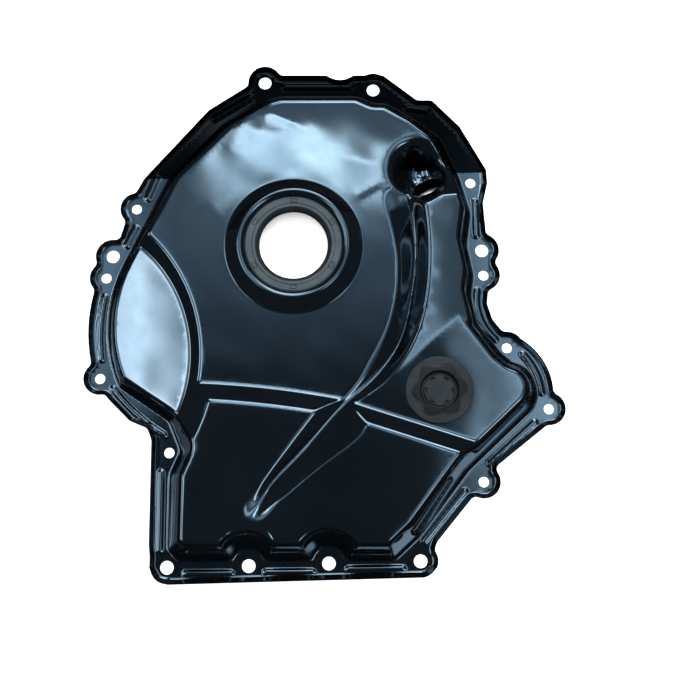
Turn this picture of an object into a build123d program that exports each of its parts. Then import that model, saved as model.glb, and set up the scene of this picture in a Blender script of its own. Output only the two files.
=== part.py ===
import os
from math import atan2, cos, hypot, radians, sin, tan

from build123d import *

os.makedirs("parts", exist_ok=True)

# Timing cover pressed from one steel sheet, with its crankshaft seal and a push-in plastic plug.
# Millimetres. X and Y are measured from the crankshaft axis, and Z rises from the sealing face
# of the flange, away from the engine. Every piece is moved at the end, so that the origin lies
# under the middle of the cover.

# Sheet and flange
sheet = 1.5
lip_height = 3.0
flange_corner = 4.0

# Levels of the pressed panels, over the sealing face
seal_level = 24.0
plug_level = 24.65
high_level = 32.0
lens_level = 17.0
boss_level = 32.3

# Slopes of the pressed walls, in degrees from the pressing direction
main_draft = 17.0
duct_draft = 8.0
step_draft = 57.0
wall_corner = 5.0
panel_bend = 2.0
main_bend = 3.5
duct_bend = 4.0

# Bolts, dowels and their lands
large_hole = 9.2
small_hole = 7.2
large_land = 12.0
small_land = 11.5
sump_recess = 12.0

# Stiffening beads on the flange
bead_width = 4.2
bead_height = 0.9
bead_draft = 35.0

# Crankshaft seal and the collar that holds it
shaft_size = 48.0
lip_interference = 0.75
lip_land = 1.0
seal_size = 67.0
seal_height = 9.0
seal_drop = 2.8
seal_cover = 1.0
seal_case_wall = 1.0
seal_case_bore = 54.8
spring_ring_radius = 26.7
spring_wire_radius = 0.9
spring_sides = 8
spring_level = 3.4
spring_lap = 0.5
lip_heel = (1.6, 1.9)
lip_back = 1.7
web_margin = 1.0
web_start = (1.4, 0.8)
mark_radius = 29.9
mark_size = (3.2, 1.8, 0.3)
mark_count = 6
collar_height = 11.5
collar_bend = 2.2
boss_rim_radius = seal_size / 2 + 4.5
boss_foot_radius = boss_rim_radius + 9.0
boss_rim_bend = 2.0

# Push-in plug
plug_place = (98.4, -99.8)
plug_hole = 38.0
plug_clearance = 0.2
plug_flange = 45.6
plug_flange_height = 2.6
plug_flange_bevel = 0.6
plug_recess = 24.8
plug_recess_depth = 3.6
plug_disc = 21.4
plug_disc_height = 1.2
plug_spigot_depth = 7.5
plug_wall = 2.2
plug_floor = 2.0
plug_hook = 0.9
plug_hook_height = 2.4
plug_hook_angle = 36.0
plug_hooks = 4
plug_slots = 6
plug_slot_size = (3.6, 1.6)
plug_slot_radius = 9.0
plug_ring_size = 41.6
plug_ring_wall = 1.6
plug_ring_height = 1.0

# Dipstick-tube pocket
tube_place = (91.6, 44.2, 15.4)
tube_hole = 20.0
tube_seat = 24.4
tube_neck = 8.0
tube_direction = (-0.385, 0.652, 0.653)
pocket_place = (86.0, 54.5)
pocket_rim = 20.5
pocket_waist = 11.5
pocket_waist_level = 13.0
pocket_floor = 6.5
pocket_foot = 8.5

# How far cutting shapes run past the pressing
tool_over = 4.0
tool_under = 7.0
far_out = 260.0

# Places in plan
large_holes = [(-22, 124.6), (54.9, 119.4), (130.4, 2.0), (86.0, -212.5), (24.3, -214.0),
               (-29.6, -215.7), (-84.5, -216.8), (-126.7, -2.3)]
small_holes = [(123.2, 50.8), (131.3, -15.7), (146.6, -67.0), (174.6, -109.4), (129.3, -159.3),
               (-84.6, -139.5), (-133.2, -88.5), (-130.9, -17.8), (-111.0, 31.8)]
sump_holes = large_holes[4:6]
straight_beads = [((-71.5, -220.7), (-41.3, -220.5)), ((-17.9, -219.8), (13.2, -219.5)),
                  ((37.4, -217.8), (73.6, -217.2)), ((-89.6, -205.0), (-89.6, -153.0)),
                  ((-111.2, 18.0), (-117.2, 5.6)), ((-97.6, 54.2), (-103.4, 39.6)),
                  ((-57.5, 97.9), (-32.0, 113.6)), ((-7.8, 121.5), (38.4, 121.5)),
                  ((79.0, 106.0), (93.1, 104.0)), ((126.2, 37.0), (126.6, 13.0)),
                  ((164.6, -118.6), (133.9, -146.8)), ((116.2, -165.4), (88.4, -199.0))]
curved_beads = [((-88.5, -127.2), (-107.4, -113.2), (-123.8, -95.6)),
                ((-131.4, -31.2), (-134.0, -53.0), (-132.8, -74.8)),
                ((126.6, -26.5), (128.6, -47.0), (138.6, -61.0)),
                ((157.6, -71.6), (165.8, -83.8), (169.6, -98.0))]
top_recess_place = (31.3, 141.5)
top_recess = 14.8
step_foot = [(-63.0, -94.6), (-6.0, -99.4), (42.0, -107.4), (125.0, -134.0)]
groove_bend = 0.56
groove_over = 4.0
duct_tip = (46.0, -109.6)
duct_shoulder = (115.0, -46.6)
duct_level = 34.98
duct_fall_x = 0.0628
duct_rise_y = 0.0677
duct_end = (100.0, 33.0, 31.0)
duct_end_drop = 7.0
duct_end_run = 13.0
duct_overlap = 8.0
duct_side = 100.0
lens_middle = (-95.0, -55.0)
lens_slope = 3.5
lens_centre = (-178.0, -76.0)
lens_radius = 106.5
lens_step = 9.0


def run(thickness, draft):
    # how far a wall of this draft moves sideways for a given thickness of sheet
    return thickness / cos(radians(draft))


def foot_profile(inset):
    # the line where the pressed walls meet the flange, moved inwards
    top = [(-50.8, 91.6), (-20.5, 110), (-11, 112.7), (44, 112.7), (55, 107.5), (64, 107.5),
           (84, 96), (101, 82.5), (113, 54), (120.5, 28), (117.5, 5.5), (122, -16), (120, -30),
           (124, -48), (141.5, -71.4), (148.5, -77)]
    bottom = [(160, -112), (118, -152), (86, -195), (68, -212), (-76, -212.5), (-83.7, -204),
              (-83.2, -155), (-76, -138.6), (-84.5, -117.5), (-119.3, -93.8)]
    side = [(-117.5, -7.6), (-87.5, 53.7), top[0]]
    with BuildSketch() as profile:
        with BuildLine():
            Polyline(*top)
            ThreePointArc(top[-1], (164, -90), bottom[0])
            Polyline(*bottom)
            ThreePointArc(bottom[-1], (-127.9, -54), side[0])
            Polyline(*side)
        make_face()
        with Locations(*sump_holes):
            Circle(sump_recess, mode=Mode.SUBTRACT)
        offset(amount=wall_corner, kind=Kind.INTERSECTION)
        offset(amount=-wall_corner, kind=Kind.ARC)
        if inset > 0:
            offset(amount=-inset, kind=Kind.INTERSECTION)
    return profile.sketch


def walled_body(skin, draft, level):
    # a block with the sloping walls of the pressing, drawn downwards and mirrored up
    with BuildPart() as body:
        add(foot_profile(run(skin, draft)))
        extrude(amount=level - skin, taper=draft)
        mirror(about=Plane.XY, mode=Mode.REPLACE)
    return body.part


def low_body(skin):
    # the main pressing up to the seal panel
    with BuildPart() as body:
        add(walled_body(skin, main_draft, seal_level))
        fillet(body.faces().sort_by(Axis.Z)[-1].edges(), radius=main_bend - skin)
    return body.part


def lens_tool(skin):
    # the lens-shaped panel sunk into the left side, with a conical step round it
    rate = lens_step / (seal_level - lens_level)
    drop = skin / cos(atan2(1, rate))
    bottom, top = lens_level - tool_under, high_level + tool_over
    tilt = radians(lens_slope)
    with BuildPart() as tool:
        with Locations((lens_centre[0], lens_centre[1], bottom - drop)):
            Cone(lens_radius + (bottom - lens_level) * rate, lens_radius + (top - lens_level) * rate,
                 top - bottom, align=(Align.CENTER, Align.CENTER, Align.MIN))
        split(bisect_by=Plane(origin=(*lens_middle, lens_level - skin), z_dir=(-sin(tilt), 0, cos(tilt))),
              keep=Keep.TOP)
    return tool.part


def crease_line(aside):
    # the crease between the duct and the plug panel, run on at both ends and moved sideways
    tip, shoulder = Vector(*duct_tip), Vector(*duct_shoulder)
    along = (shoulder - tip).normalized()
    across = Vector(-along.Y, along.X) * aside
    start, end = tip - along * duct_overlap * 2 + across, shoulder + along * duct_overlap * 5 + across
    return (start.X, start.Y), (end.X, end.Y)


def plug_body(skin):
    # the plug panel, a little higher than the seal panel
    start, end = crease_line(duct_overlap)
    with BuildPart() as body:
        add(walled_body(skin, main_draft, plug_level))
        fillet(body.faces().sort_by(Axis.Z)[-1].edges(), radius=main_bend - skin)
        with BuildSketch():
            with BuildLine():
                Polyline(start, end, (far_out, end[1]), (far_out, -160), (60, -160), close=True)
            make_face()
        extrude(amount=plug_level, dir=(0, 0, 1), mode=Mode.INTERSECT)
    return body.part


def north_outline():
    # everything north of the foot of the long step
    with BuildSketch() as outline:
        with BuildLine():
            Line((-far_out, -92), step_foot[0])
            ThreePointArc(*step_foot[:3])
            Polyline(*step_foot[2:], (far_out, -176), (far_out, far_out), (-far_out, far_out),
                     (-far_out, -92))
        make_face()
    return outline.sketch


def high_body(skin):
    # the two lower panels, with the long step that rises to them from the north
    foot = seal_level - skin / cos(radians(90 - step_draft))
    with BuildPart() as body:
        add(walled_body(skin, main_draft, high_level))
        with BuildSketch(Plane.XY.offset(foot)):
            add(north_outline())
        extrude(amount=high_level - foot + tool_over, dir=(0, 0, 1), taper=-step_draft,
                mode=Mode.SUBTRACT)
        with BuildSketch():
            add(north_outline())
        extrude(amount=foot, dir=(0, 0, 1), mode=Mode.SUBTRACT)
        if skin == 0:
            fillet(body.faces().filter_by(Axis.Z).sort_by(Axis.Z)[-1].edges(), radius=panel_bend)
    return body.part


def duct_height(x, y):
    # the top of the duct falls towards the plug panel and towards the right
    return duct_level - duct_fall_x * x + duct_rise_y * y


def duct_body(skin):
    # the raised duct under the dipstick pocket
    start, end = crease_line(-duct_overlap)
    end_slope = Vector(0, duct_end_drop, duct_end_run).normalized()
    with BuildPart() as body:
        add(walled_body(skin, duct_draft, high_level + tool_over))
        split(bisect_by=Plane(origin=(0, 0, duct_height(0, 0) - skin),
                              z_dir=(duct_fall_x, -duct_rise_y, 1)), keep=Keep.BOTTOM)
        top = body.faces().filter_by(lambda face: face.normal_at().Z > 0.9).sort_by(SortBy.AREA)[-1]
        fillet(top.edges().filter_by(lambda edge: edge.center().X > duct_side), radius=duct_bend - skin)
        with BuildSketch():
            with BuildLine():
                Polyline((84, 60), (83, -30), (74, -62), (55, -89), duct_tip, start, end,
                         (end[0], 60), close=True)
            make_face()
            if skin > 0:
                offset(amount=-skin, kind=Kind.INTERSECTION)
        extrude(amount=high_level + tool_over, dir=(0, 0, 1), mode=Mode.INTERSECT)
        split(bisect_by=Plane(origin=Vector(*duct_end) - end_slope * skin, z_dir=end_slope),
              keep=Keep.BOTTOM)
    return body.part


def grown(points, distance):
    # an anticlockwise outline with every side moved outwards
    sides = []
    for (ax, ay), (bx, by) in zip(points, points[1:] + points[:1]):
        length = hypot(bx - ax, by - ay)
        out_x, out_y = (by - ay) / length, (ax - bx) / length
        sides.append((out_x, out_y, out_x * ax + out_y * ay + distance))
    corners = []
    for (ax, ay, ac), (bx, by, bc) in zip(sides[-1:] + sides[:-1], sides):
        cross = ax * by - ay * bx
        corners.append(((ac * by - bc * ay) / cross, (ax * bc - bx * ac) / cross))
    return corners


def groove_tool(skin):
    # the long crease from the pocket to the lower left, a V with a shallow far side
    # each station: place of the bottom line, its level, reach to the left edge and its level,
    # reach to the crest, reach to the right edge and its level
    stations = [
        (75.6, 42.3, 23.0, 14.0, 24, 10.0, 10.6, 36),
        (80.4, 28.9, 19.5, 17.0, 24, 8.5, 9.2, 36),
        (83.2, 11.7, 15.5, 15.0, 24, 7.6, 8.2, 36),
        (83.8, -9.2, 14.0, 12.5, 24, 7.6, 8.2, 36),
        (80.1, -37.5, 14.8, 10.0, 24, 9.0, 9.6, 36),
        (73.0, -64.4, 17.0, 10.5, 24, 7.6, 8.2, 36),
        (55.0, -90.1, 20.6, 6.6, 24, 7.0, 7.6, 36),
        (34.4, -109.3, 22.8, 11.0, 32, 9.0, 21.0, 32),
        (12.9, -133.9, 24.0, 9.0, 32, 8.8, 17.6, 32),
        (-3.3, -151.2, 25.8, 6.2, 32, 8.0, 14.0, 32),
        (-18.0, -168.4, 28.4, 3.6, 32, 5.6, 10.5, 32),
        (-30.0, -188.0, 32.4, 1.6, 33, 2.0, 4.0, 33),
    ]
    sections = []
    ceiling = high_level + 2 * tool_over
    for index, (x, y, level, left, left_level, crest, right, right_level) in enumerate(stations):
        before = stations[max(index - 1, 0)]
        after = stations[min(index + 1, len(stations) - 1)]
        along = Vector(after[0] - before[0], after[1] - before[1]).normalized()
        across = Vector(-along.Y, along.X)
        crest_level = duct_height(x + across.X * crest, y + across.Y * crest)
        if right_level <= high_level + 1:
            crest_level = level + (right_level - level) * groove_bend
        left_rise = (left_level - level) / left * groove_over
        right_rise = (right_level - crest_level) / (right - crest) * groove_over
        if right_rise > groove_over:
            right_rise = 0
        outline = [(0, level), (crest, crest_level),
                   (right + (groove_over if right_rise > 0 else 0), right_level + right_rise),
                   (right + groove_over + 1, ceiling), (-left - groove_over - 1, ceiling),
                   (-left - groove_over, left_level + left_rise)]
        plane = Plane(origin=(x, y, 0), x_dir=(across.X, across.Y, 0), z_dir=(along.X, along.Y, 0))
        with BuildSketch(plane) as section:
            with BuildLine():
                Polyline(*grown(outline, skin), close=True)
            make_face()
        sections.append(section.sketch)
    with BuildPart() as tool:
        loft(sections=sections)
    return tool.part


def pocket_tool(skin):
    # a round bowl and a round seat, cut off by the flat wall that takes the dipstick tube
    slope = atan2(seal_level - pocket_waist_level, pocket_rim - pocket_waist)
    side = skin / sin(slope)
    rate = (pocket_rim - pocket_waist) / (seal_level - pocket_waist_level)
    roof = high_level + 2 * tool_over
    direction = Vector(*tube_direction).normalized()
    with BuildPart() as tool:
        with BuildSketch(Plane(origin=(*pocket_place, 0), x_dir=(1, 0, 0), z_dir=(0, -1, 0))):
            with BuildLine():
                Polyline((0, pocket_floor - skin), (pocket_foot + skin, pocket_floor - skin),
                         (pocket_waist + side, pocket_waist_level),
                         (pocket_rim + side + rate * (roof - seal_level), roof), (0, roof), close=True)
            make_face()
        revolve(axis=Axis((*pocket_place, 0), (0, 0, 1)))
        with Locations(Plane(origin=tube_place, z_dir=direction)):
            Cylinder(tube_seat / 2 + skin, 3 * tube_seat)
        split(bisect_by=Plane(origin=Vector(*tube_place) - direction * skin, z_dir=direction),
              keep=Keep.TOP)
    return tool.part


def boss_body(skin):
    # the round boss of the crankshaft seal
    rise = boss_level - seal_level
    reach = boss_foot_radius - boss_rim_radius
    drop = skin / cos(atan2(rise, reach))
    foot = boss_foot_radius + (seal_level - drop) * reach / rise
    rim = boss_rim_radius - (drop - skin) * reach / rise
    root = seal_level - 2 * sheet
    with BuildPart() as body:
        with BuildSketch(Plane.XZ):
            with BuildLine():
                Polyline((0, root), (foot - root * reach / rise, root),
                         (rim, boss_level - skin), (0, boss_level - skin), close=True)
            make_face()
        revolve(axis=Axis.Z)
        if skin == 0:
            fillet(body.faces().sort_by(Axis.Z)[-1].edges(), radius=boss_rim_bend)
    return body.part


def pressed_form(skin):
    # everything under the outer face of the sheet, or with a skin, under its inner face
    with BuildPart() as form:
        add(low_body(skin))
        add(plug_body(skin))
        add(high_body(skin))
        add(duct_body(skin))
        add(boss_body(skin))
        add(lens_tool(skin), mode=Mode.SUBTRACT)
        add(groove_tool(skin), mode=Mode.SUBTRACT)
        add(pocket_tool(skin), mode=Mode.SUBTRACT)
    return form.part


def flange_profile(inset):
    # the outer edge of the flange, with a land round each hole
    edge = [(-61.9, 104), (-22, 130), (62, 130), (86, 111.5), (96.5, 111.5), (116, 92), (134.5, 60),
            (135, 50), (131.8, 36), (133.4, 16), (134.5, -26), (133.5, -36), (137, -47),
            (144.5, -56.5), (156, -60.4)]
    corner = [(178, -96.5), (174, -120), (139, -148.2), (117.5, -175), (97.5, -199.5), (88, -224.4),
              (-84, -229.2), (-96.3, -217), (-96.2, -132), (-100, -123), (-112, -118), (-127.5, -102.5),
              (-140, -76)]
    side = [(-139.2, -28), (-122, 11), (-118.3, 23.8), (-111.5, 44), (-106.3, 53.8), edge[0]]
    with BuildSketch() as profile:
        with BuildLine():
            Polyline(*edge)
            ThreePointArc(edge[-1], (171, -75), corner[0])
            Polyline(*corner)
            ThreePointArc(corner[-1], (-142.3, -52), side[0])
            Polyline(*side)
        make_face()
        with Locations(top_recess_place):
            Circle(top_recess, mode=Mode.SUBTRACT)
        with Locations(*large_holes[:4], *large_holes[6:]):
            Circle(large_land)
        with Locations(*small_holes):
            Circle(small_land)
        offset(amount=flange_corner, kind=Kind.INTERSECTION)
        offset(amount=-flange_corner, kind=Kind.ARC)
        offset(amount=-flange_corner, kind=Kind.ARC)
        offset(amount=flange_corner, kind=Kind.ARC)
        if inset > 0:
            offset(amount=-inset, kind=Kind.ARC)
    return profile.sketch


def bead_outline(places, width):
    # a slot along a line of two points or an arc through three
    with BuildSketch() as outline:
        if len(places) == 2:
            start, end = Vector(*places[0]), Vector(*places[1])
            SlotCenterPoint((start + end) / 2, end, width)
        else:
            SlotArc(Edge.make_three_point_arc(*places), width)
    return outline.sketch


with BuildPart() as cover:
    # flange with its turned-up edge
    add(flange_profile(0))
    extrude(amount=sheet + lip_height)
    with BuildSketch(Plane.XY.offset(sheet)):
        add(flange_profile(sheet))
    extrude(amount=lip_height, mode=Mode.SUBTRACT)

    # pressed panels, hollow underneath
    add(pressed_form(0))
    add(pressed_form(sheet), mode=Mode.SUBTRACT)

    # collar drawn inwards for the seal
    with Locations((0, 0, boss_level - collar_height)):
        Cylinder(seal_size / 2 + sheet, collar_height, align=(Align.CENTER, Align.CENTER, Align.MIN))
    with Locations((0, 0, boss_level / 2)):
        Cylinder(seal_size / 2, boss_level, mode=Mode.SUBTRACT)
    bores = cover.edges().filter_by(GeomType.CIRCLE).filter_by(lambda edge: edge.radius == seal_size / 2)
    fillet(bores.sort_by(Axis.Z)[-1], radius=collar_bend)

    # stiffening beads, raised on the outside
    hollow = bead_width - 2 * (sheet / cos(radians(bead_draft)) - sheet * tan(radians(bead_draft)))
    for places in straight_beads + curved_beads:
        with BuildSketch(Plane.XY.offset(sheet)):
            add(bead_outline(places, bead_width))
        extrude(amount=bead_height, dir=(0, 0, 1), taper=bead_draft)
        with BuildSketch():
            add(bead_outline(places, hollow))
        extrude(amount=bead_height, dir=(0, 0, 1), taper=bead_draft, mode=Mode.SUBTRACT)

    # neck drawn inwards for the dipstick tube
    with Locations(Plane(origin=tube_place, z_dir=tube_direction)):
        Cylinder(tube_hole / 2 + sheet, tube_neck, align=(Align.CENTER, Align.CENTER, Align.MAX))

    # holes for the bolts, dowels, plug and dipstick tube
    with Locations(*large_holes):
        Cylinder(large_hole / 2, 4 * sheet, mode=Mode.SUBTRACT)
    with Locations(*small_holes):
        Cylinder(small_hole / 2, 4 * sheet, mode=Mode.SUBTRACT)
    with Locations((*plug_place, plug_level)):
        Cylinder(plug_hole / 2, 4 * sheet, mode=Mode.SUBTRACT)
    with Locations(Plane(origin=tube_place, z_dir=tube_direction)):
        Cylinder(tube_hole / 2, 3 * tube_neck, mode=Mode.SUBTRACT)

# the seal, seen as a section from its outer radius inwards
seal_radius = seal_size / 2
seal_top = boss_level - seal_drop
seal_foot = seal_top - seal_height
case_radius = seal_radius - seal_cover
case_top = seal_top - seal_cover
case_inner = case_radius - seal_case_wall
case_lower = case_top - seal_case_wall
case_foot = seal_foot + seal_cover / 2
case_bore = seal_case_bore / 2
lip_radius = shaft_size / 2 - lip_interference
lip_level = seal_foot + spring_level
lip_rear = spring_ring_radius + spring_wire_radius - spring_lap

with BuildPart() as seal_body:
    with BuildSketch(Plane.XZ):
        with BuildLine():
            Polyline((case_inner, seal_foot), (seal_radius, seal_foot), (seal_radius, seal_top),
                     (case_bore + web_margin, seal_top), (case_bore - web_start[0], seal_top - web_start[1]),
                     (lip_radius, lip_level + lip_land), (lip_radius, lip_level),
                     (lip_radius + lip_heel[0], lip_level - lip_heel[1]), (lip_rear, lip_level - lip_heel[1]),
                     (lip_rear, lip_level + lip_back), (case_bore, case_lower),
                     (case_bore, case_top), (case_radius, case_top), (case_radius, case_foot),
                     (case_inner, case_foot), close=True)
        make_face()
        with Locations((spring_ring_radius, lip_level)):
            RegularPolygon(spring_wire_radius, spring_sides, mode=Mode.SUBTRACT)
    revolve(axis=Axis.Z)
    with Locations((0, 0, seal_top)):
        with PolarLocations(mark_radius, mark_count, start_angle=30):
            Box(mark_size[1], mark_size[0], 2 * mark_size[2])

with BuildPart() as seal_case:
    with BuildSketch(Plane.XZ):
        with BuildLine():
            Polyline((case_bore, case_lower), (case_inner, case_lower), (case_inner, case_foot),
                     (case_radius, case_foot), (case_radius, case_top), (case_bore, case_top), close=True)
        make_face()
    revolve(axis=Axis.Z)

with BuildPart() as garter_spring:
    with BuildSketch(Plane.XZ):
        with Locations((spring_ring_radius, lip_level)):
            RegularPolygon(spring_wire_radius, spring_sides)
    revolve(axis=Axis.Z)

# the plug, with a recessed middle, hooks under the sheet and a groove for its ring
ring_inner = plug_ring_size / 2 - plug_ring_wall / 2
ring_outer = plug_ring_size / 2 + plug_ring_wall / 2
flange_top = plug_level + plug_flange_height
recess_floor = flange_top - plug_recess_depth
spigot_radius = plug_hole / 2 - plug_clearance
spigot_foot = plug_level - plug_spigot_depth
hook_top = plug_level - sheet - plug_clearance / 2

with BuildPart() as plug:
    with BuildSketch(Plane.XZ):
        with BuildLine():
            Polyline((0, recess_floor - plug_floor), (plug_recess / 2 + plug_wall, recess_floor - plug_floor),
                     (plug_recess / 2 + plug_wall, plug_level), (spigot_radius - plug_wall, plug_level),
                     (spigot_radius - plug_wall, spigot_foot), (spigot_radius, spigot_foot),
                     (spigot_radius, plug_level), (ring_inner, plug_level),
                     (ring_inner, plug_level + plug_ring_height), (ring_outer, plug_level + plug_ring_height),
                     (ring_outer, plug_level), (plug_flange / 2, plug_level), (plug_flange / 2, flange_top),
                     (plug_recess / 2, flange_top), (plug_recess / 2, recess_floor), (0, recess_floor),
                     close=True)
        make_face()
    revolve(axis=Axis.Z)
    rims = plug.faces().filter_by(Axis.Z).sort_by(Axis.Z)[-1].edges()
    chamfer(rims, length=plug_flange_bevel)
    with Locations((0, 0, recess_floor)):
        Cylinder(plug_disc / 2, plug_disc_height, align=(Align.CENTER, Align.CENTER, Align.MIN))
    with Locations((0, 0, recess_floor + plug_disc_height)):
        with PolarLocations(plug_slot_radius, plug_slots):
            Box(plug_slot_size[1], plug_slot_size[0], plug_disc_height, mode=Mode.SUBTRACT)
    for turn in range(plug_hooks):
        with BuildSketch(Plane.XZ.rotated((0, 0, turn * 360 / plug_hooks))):
            with BuildLine():
                Polyline((spigot_radius - plug_wall / 2, hook_top - plug_hook_height),
                         (spigot_radius, hook_top - plug_hook_height),
                         (plug_hole / 2 + plug_hook, hook_top - plug_hook_height / 3),
                         (plug_hole / 2 + plug_hook, hook_top), (spigot_radius - plug_wall / 2, hook_top),
                         close=True)
            make_face()
        revolve(axis=Axis.Z, revolution_arc=plug_hook_angle)

with BuildPart() as plug_ring:
    with Locations((0, 0, plug_level)):
        Cylinder(ring_outer, plug_ring_height, align=(Align.CENTER, Align.CENTER, Align.MIN))
        Cylinder(ring_inner, plug_ring_height, align=(Align.CENTER, Align.CENTER, Align.MIN),
                 mode=Mode.SUBTRACT)

box = cover.part.bounding_box()
shift = Location((-(box.min.X + box.max.X) / 2, -(box.min.Y + box.max.Y) / 2, -box.min.Z))
plug.part.move(Location((*plug_place, 0)))
plug_ring.part.move(Location((*plug_place, 0)))
for piece, name in ((cover, "cover"), (seal_body, "seal_body"), (seal_case, "seal_case"),
                    (garter_spring, "garter_spring"), (plug, "plug"), (plug_ring, "plug_ring")):
    piece.part.move(shift)
    piece.part.label = name
    export_step(piece.part, "parts/" + name + ".step")
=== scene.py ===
import bmesh
import bpy
import numpy as np
from math import cos, pi, radians, sin
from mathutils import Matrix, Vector
from mathutils.bvhtree import BVHTree
from mathutils.geometry import delaunay_2d_cdt


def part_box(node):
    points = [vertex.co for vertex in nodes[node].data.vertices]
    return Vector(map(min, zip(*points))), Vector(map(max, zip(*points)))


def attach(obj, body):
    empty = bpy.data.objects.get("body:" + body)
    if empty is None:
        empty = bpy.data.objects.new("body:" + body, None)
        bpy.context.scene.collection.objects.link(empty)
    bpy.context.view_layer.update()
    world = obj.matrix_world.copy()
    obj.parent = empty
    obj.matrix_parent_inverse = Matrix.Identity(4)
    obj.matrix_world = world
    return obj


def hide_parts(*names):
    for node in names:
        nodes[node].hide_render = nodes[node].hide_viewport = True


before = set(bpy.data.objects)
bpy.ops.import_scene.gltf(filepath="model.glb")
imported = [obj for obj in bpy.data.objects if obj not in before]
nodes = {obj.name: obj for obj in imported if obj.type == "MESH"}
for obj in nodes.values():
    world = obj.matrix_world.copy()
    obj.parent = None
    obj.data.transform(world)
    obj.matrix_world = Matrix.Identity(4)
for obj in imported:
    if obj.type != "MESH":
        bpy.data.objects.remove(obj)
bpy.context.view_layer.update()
mm = 0.001

# the crankshaft axis is the middle of the seal, and every plan position below is measured from it in mm
sealLow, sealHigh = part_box("seal_body")
crank = (sealLow + sealHigh) / 2
plugPlace = (98.4, -99.8)


def rowPoint(x, y, z=0.0):
    return Vector((crank.x + x * mm, crank.y + y * mm, z * mm))


print("stage: camera")
viewFacts = {
    "aim": (38.44, -68.16),     # point looked at, on the sealing face
    "distance": 1000.0,
    "tilt": 10.0,               # degrees from straight down, towards the sump edge
    "mmPerPixel": 0.69,         # mm on the sealing face per pixel of the picture
    "picture": 700.0,           # pixels across the picture
    "sensor": 36.0,
    "clip": (0.01, 50.0),       # nearest and farthest that is drawn, in m
}
cameraData = bpy.data.cameras.new("studioCamera")
camera = bpy.data.objects.new("studioCamera", cameraData)
bpy.context.scene.collection.objects.link(camera)
cameraData.sensor_width = viewFacts["sensor"]
viewWidth = viewFacts["mmPerPixel"] * viewFacts["picture"]
cameraData.lens = viewFacts["sensor"] * viewFacts["distance"] / viewWidth
cameraData.clip_start, cameraData.clip_end = viewFacts["clip"]
viewTilt = radians(viewFacts["tilt"])
towardsCamera = Vector((0, -sin(viewTilt), cos(viewTilt)))
camera.location = rowPoint(*viewFacts["aim"]) + towardsCamera * viewFacts["distance"] * mm
camera.rotation_euler = (viewTilt, 0, 0)
bpy.context.scene.camera = camera

print("stage: node groups")
noiseRoughness = 0.55
noiseBand = (0.3, 0.7)      # the part of a noise's range that is put to use


def feed(tree, socket, value):
    # a link from another socket, or a fixed value
    if isinstance(value, bpy.types.NodeSocket):
        tree.links.new(value, socket)
    elif value is not None:
        socket.default_value = value


def mathNode(tree, operation, first, second=None, third=None, clamp=False):
    node = tree.nodes.new("ShaderNodeMath")
    node.operation = operation
    node.use_clamp = clamp
    for socket, value in zip(node.inputs, (first, second, third)):
        feed(tree, socket, value)
    return node.outputs[0]


def vectorNode(tree, operation, first, second=None, scale=None):
    node = tree.nodes.new("ShaderNodeVectorMath")
    node.operation = operation
    for socket, value in zip(node.inputs, (first, second, None, scale)):
        feed(tree, socket, value)
    return node.outputs["Value" if operation == "DOT_PRODUCT" else "Vector"]


def placeOf(tree, output="Object"):
    return tree.nodes.new("ShaderNodeTexCoord").outputs[output]


def axesOf(tree, vector):
    parts = tree.nodes.new("ShaderNodeSeparateXYZ")
    tree.links.new(vector, parts.inputs["Vector"])
    return parts.outputs["X"], parts.outputs["Y"], parts.outputs["Z"]


def noiseNode(tree, vector, scale, detail):
    node = tree.nodes.new("ShaderNodeTexNoise")
    node.inputs["Detail"].default_value = detail
    node.inputs["Roughness"].default_value = noiseRoughness
    feed(tree, node.inputs["Scale"], scale)
    feed(tree, node.inputs["Vector"], vector)
    return node.outputs["Fac"]


def rangeNode(tree, value, fromLow, fromHigh, toLow=0.0, toHigh=1.0, smooth=True):
    node = tree.nodes.new("ShaderNodeMapRange")
    node.interpolation_type = "SMOOTHSTEP" if smooth else "LINEAR"
    node.inputs["From Min"].default_value = fromLow
    node.inputs["From Max"].default_value = fromHigh
    node.inputs["To Min"].default_value = toLow
    node.inputs["To Max"].default_value = toHigh
    tree.links.new(value, node.inputs["Value"])
    return node.outputs["Result"]


def mixColour(tree, factor, first, second, blend="MIX"):
    node = tree.nodes.new("ShaderNodeMix")
    node.data_type = "RGBA"
    node.blend_type = blend
    feed(tree, node.inputs["Factor"], factor)
    for socket, value in ((node.inputs["A"], first), (node.inputs["B"], second)):
        feed(tree, socket, (*value, 1.0) if isinstance(value, tuple) else value)
    return node.outputs["Result"]


def bumpNode(tree, height, strength, distance):
    node = tree.nodes.new("ShaderNodeBump")
    node.inputs["Strength"].default_value = strength
    node.inputs["Distance"].default_value = distance
    tree.links.new(height, node.inputs["Height"])
    return node.outputs["Normal"]


def breakupGroup():
    # slow cloudiness and fine grain from object coordinates, both 0 to 1
    tree = bpy.data.node_groups.new("surfaceBreakup", "ShaderNodeTree")
    parts = (("Cloud", 20.0, 4.0), ("Grain", 900.0, 2.0))     # name, scale and detail
    kind = "NodeSocketFloat"
    for name, scale, detail in parts:
        socket = tree.interface.new_socket(name=name + " Scale", in_out="INPUT", socket_type=kind)
        socket.default_value = scale
        tree.interface.new_socket(name=name, in_out="OUTPUT", socket_type=kind)
    entry, leave = tree.nodes.new("NodeGroupInput"), tree.nodes.new("NodeGroupOutput")
    place = placeOf(tree)
    for name, scale, detail in parts:
        tree.links.new(noiseNode(tree, place, entry.outputs[name + " Scale"], detail), leave.inputs[name])
    return tree


surfaceBreakup = breakupGroup()


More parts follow.
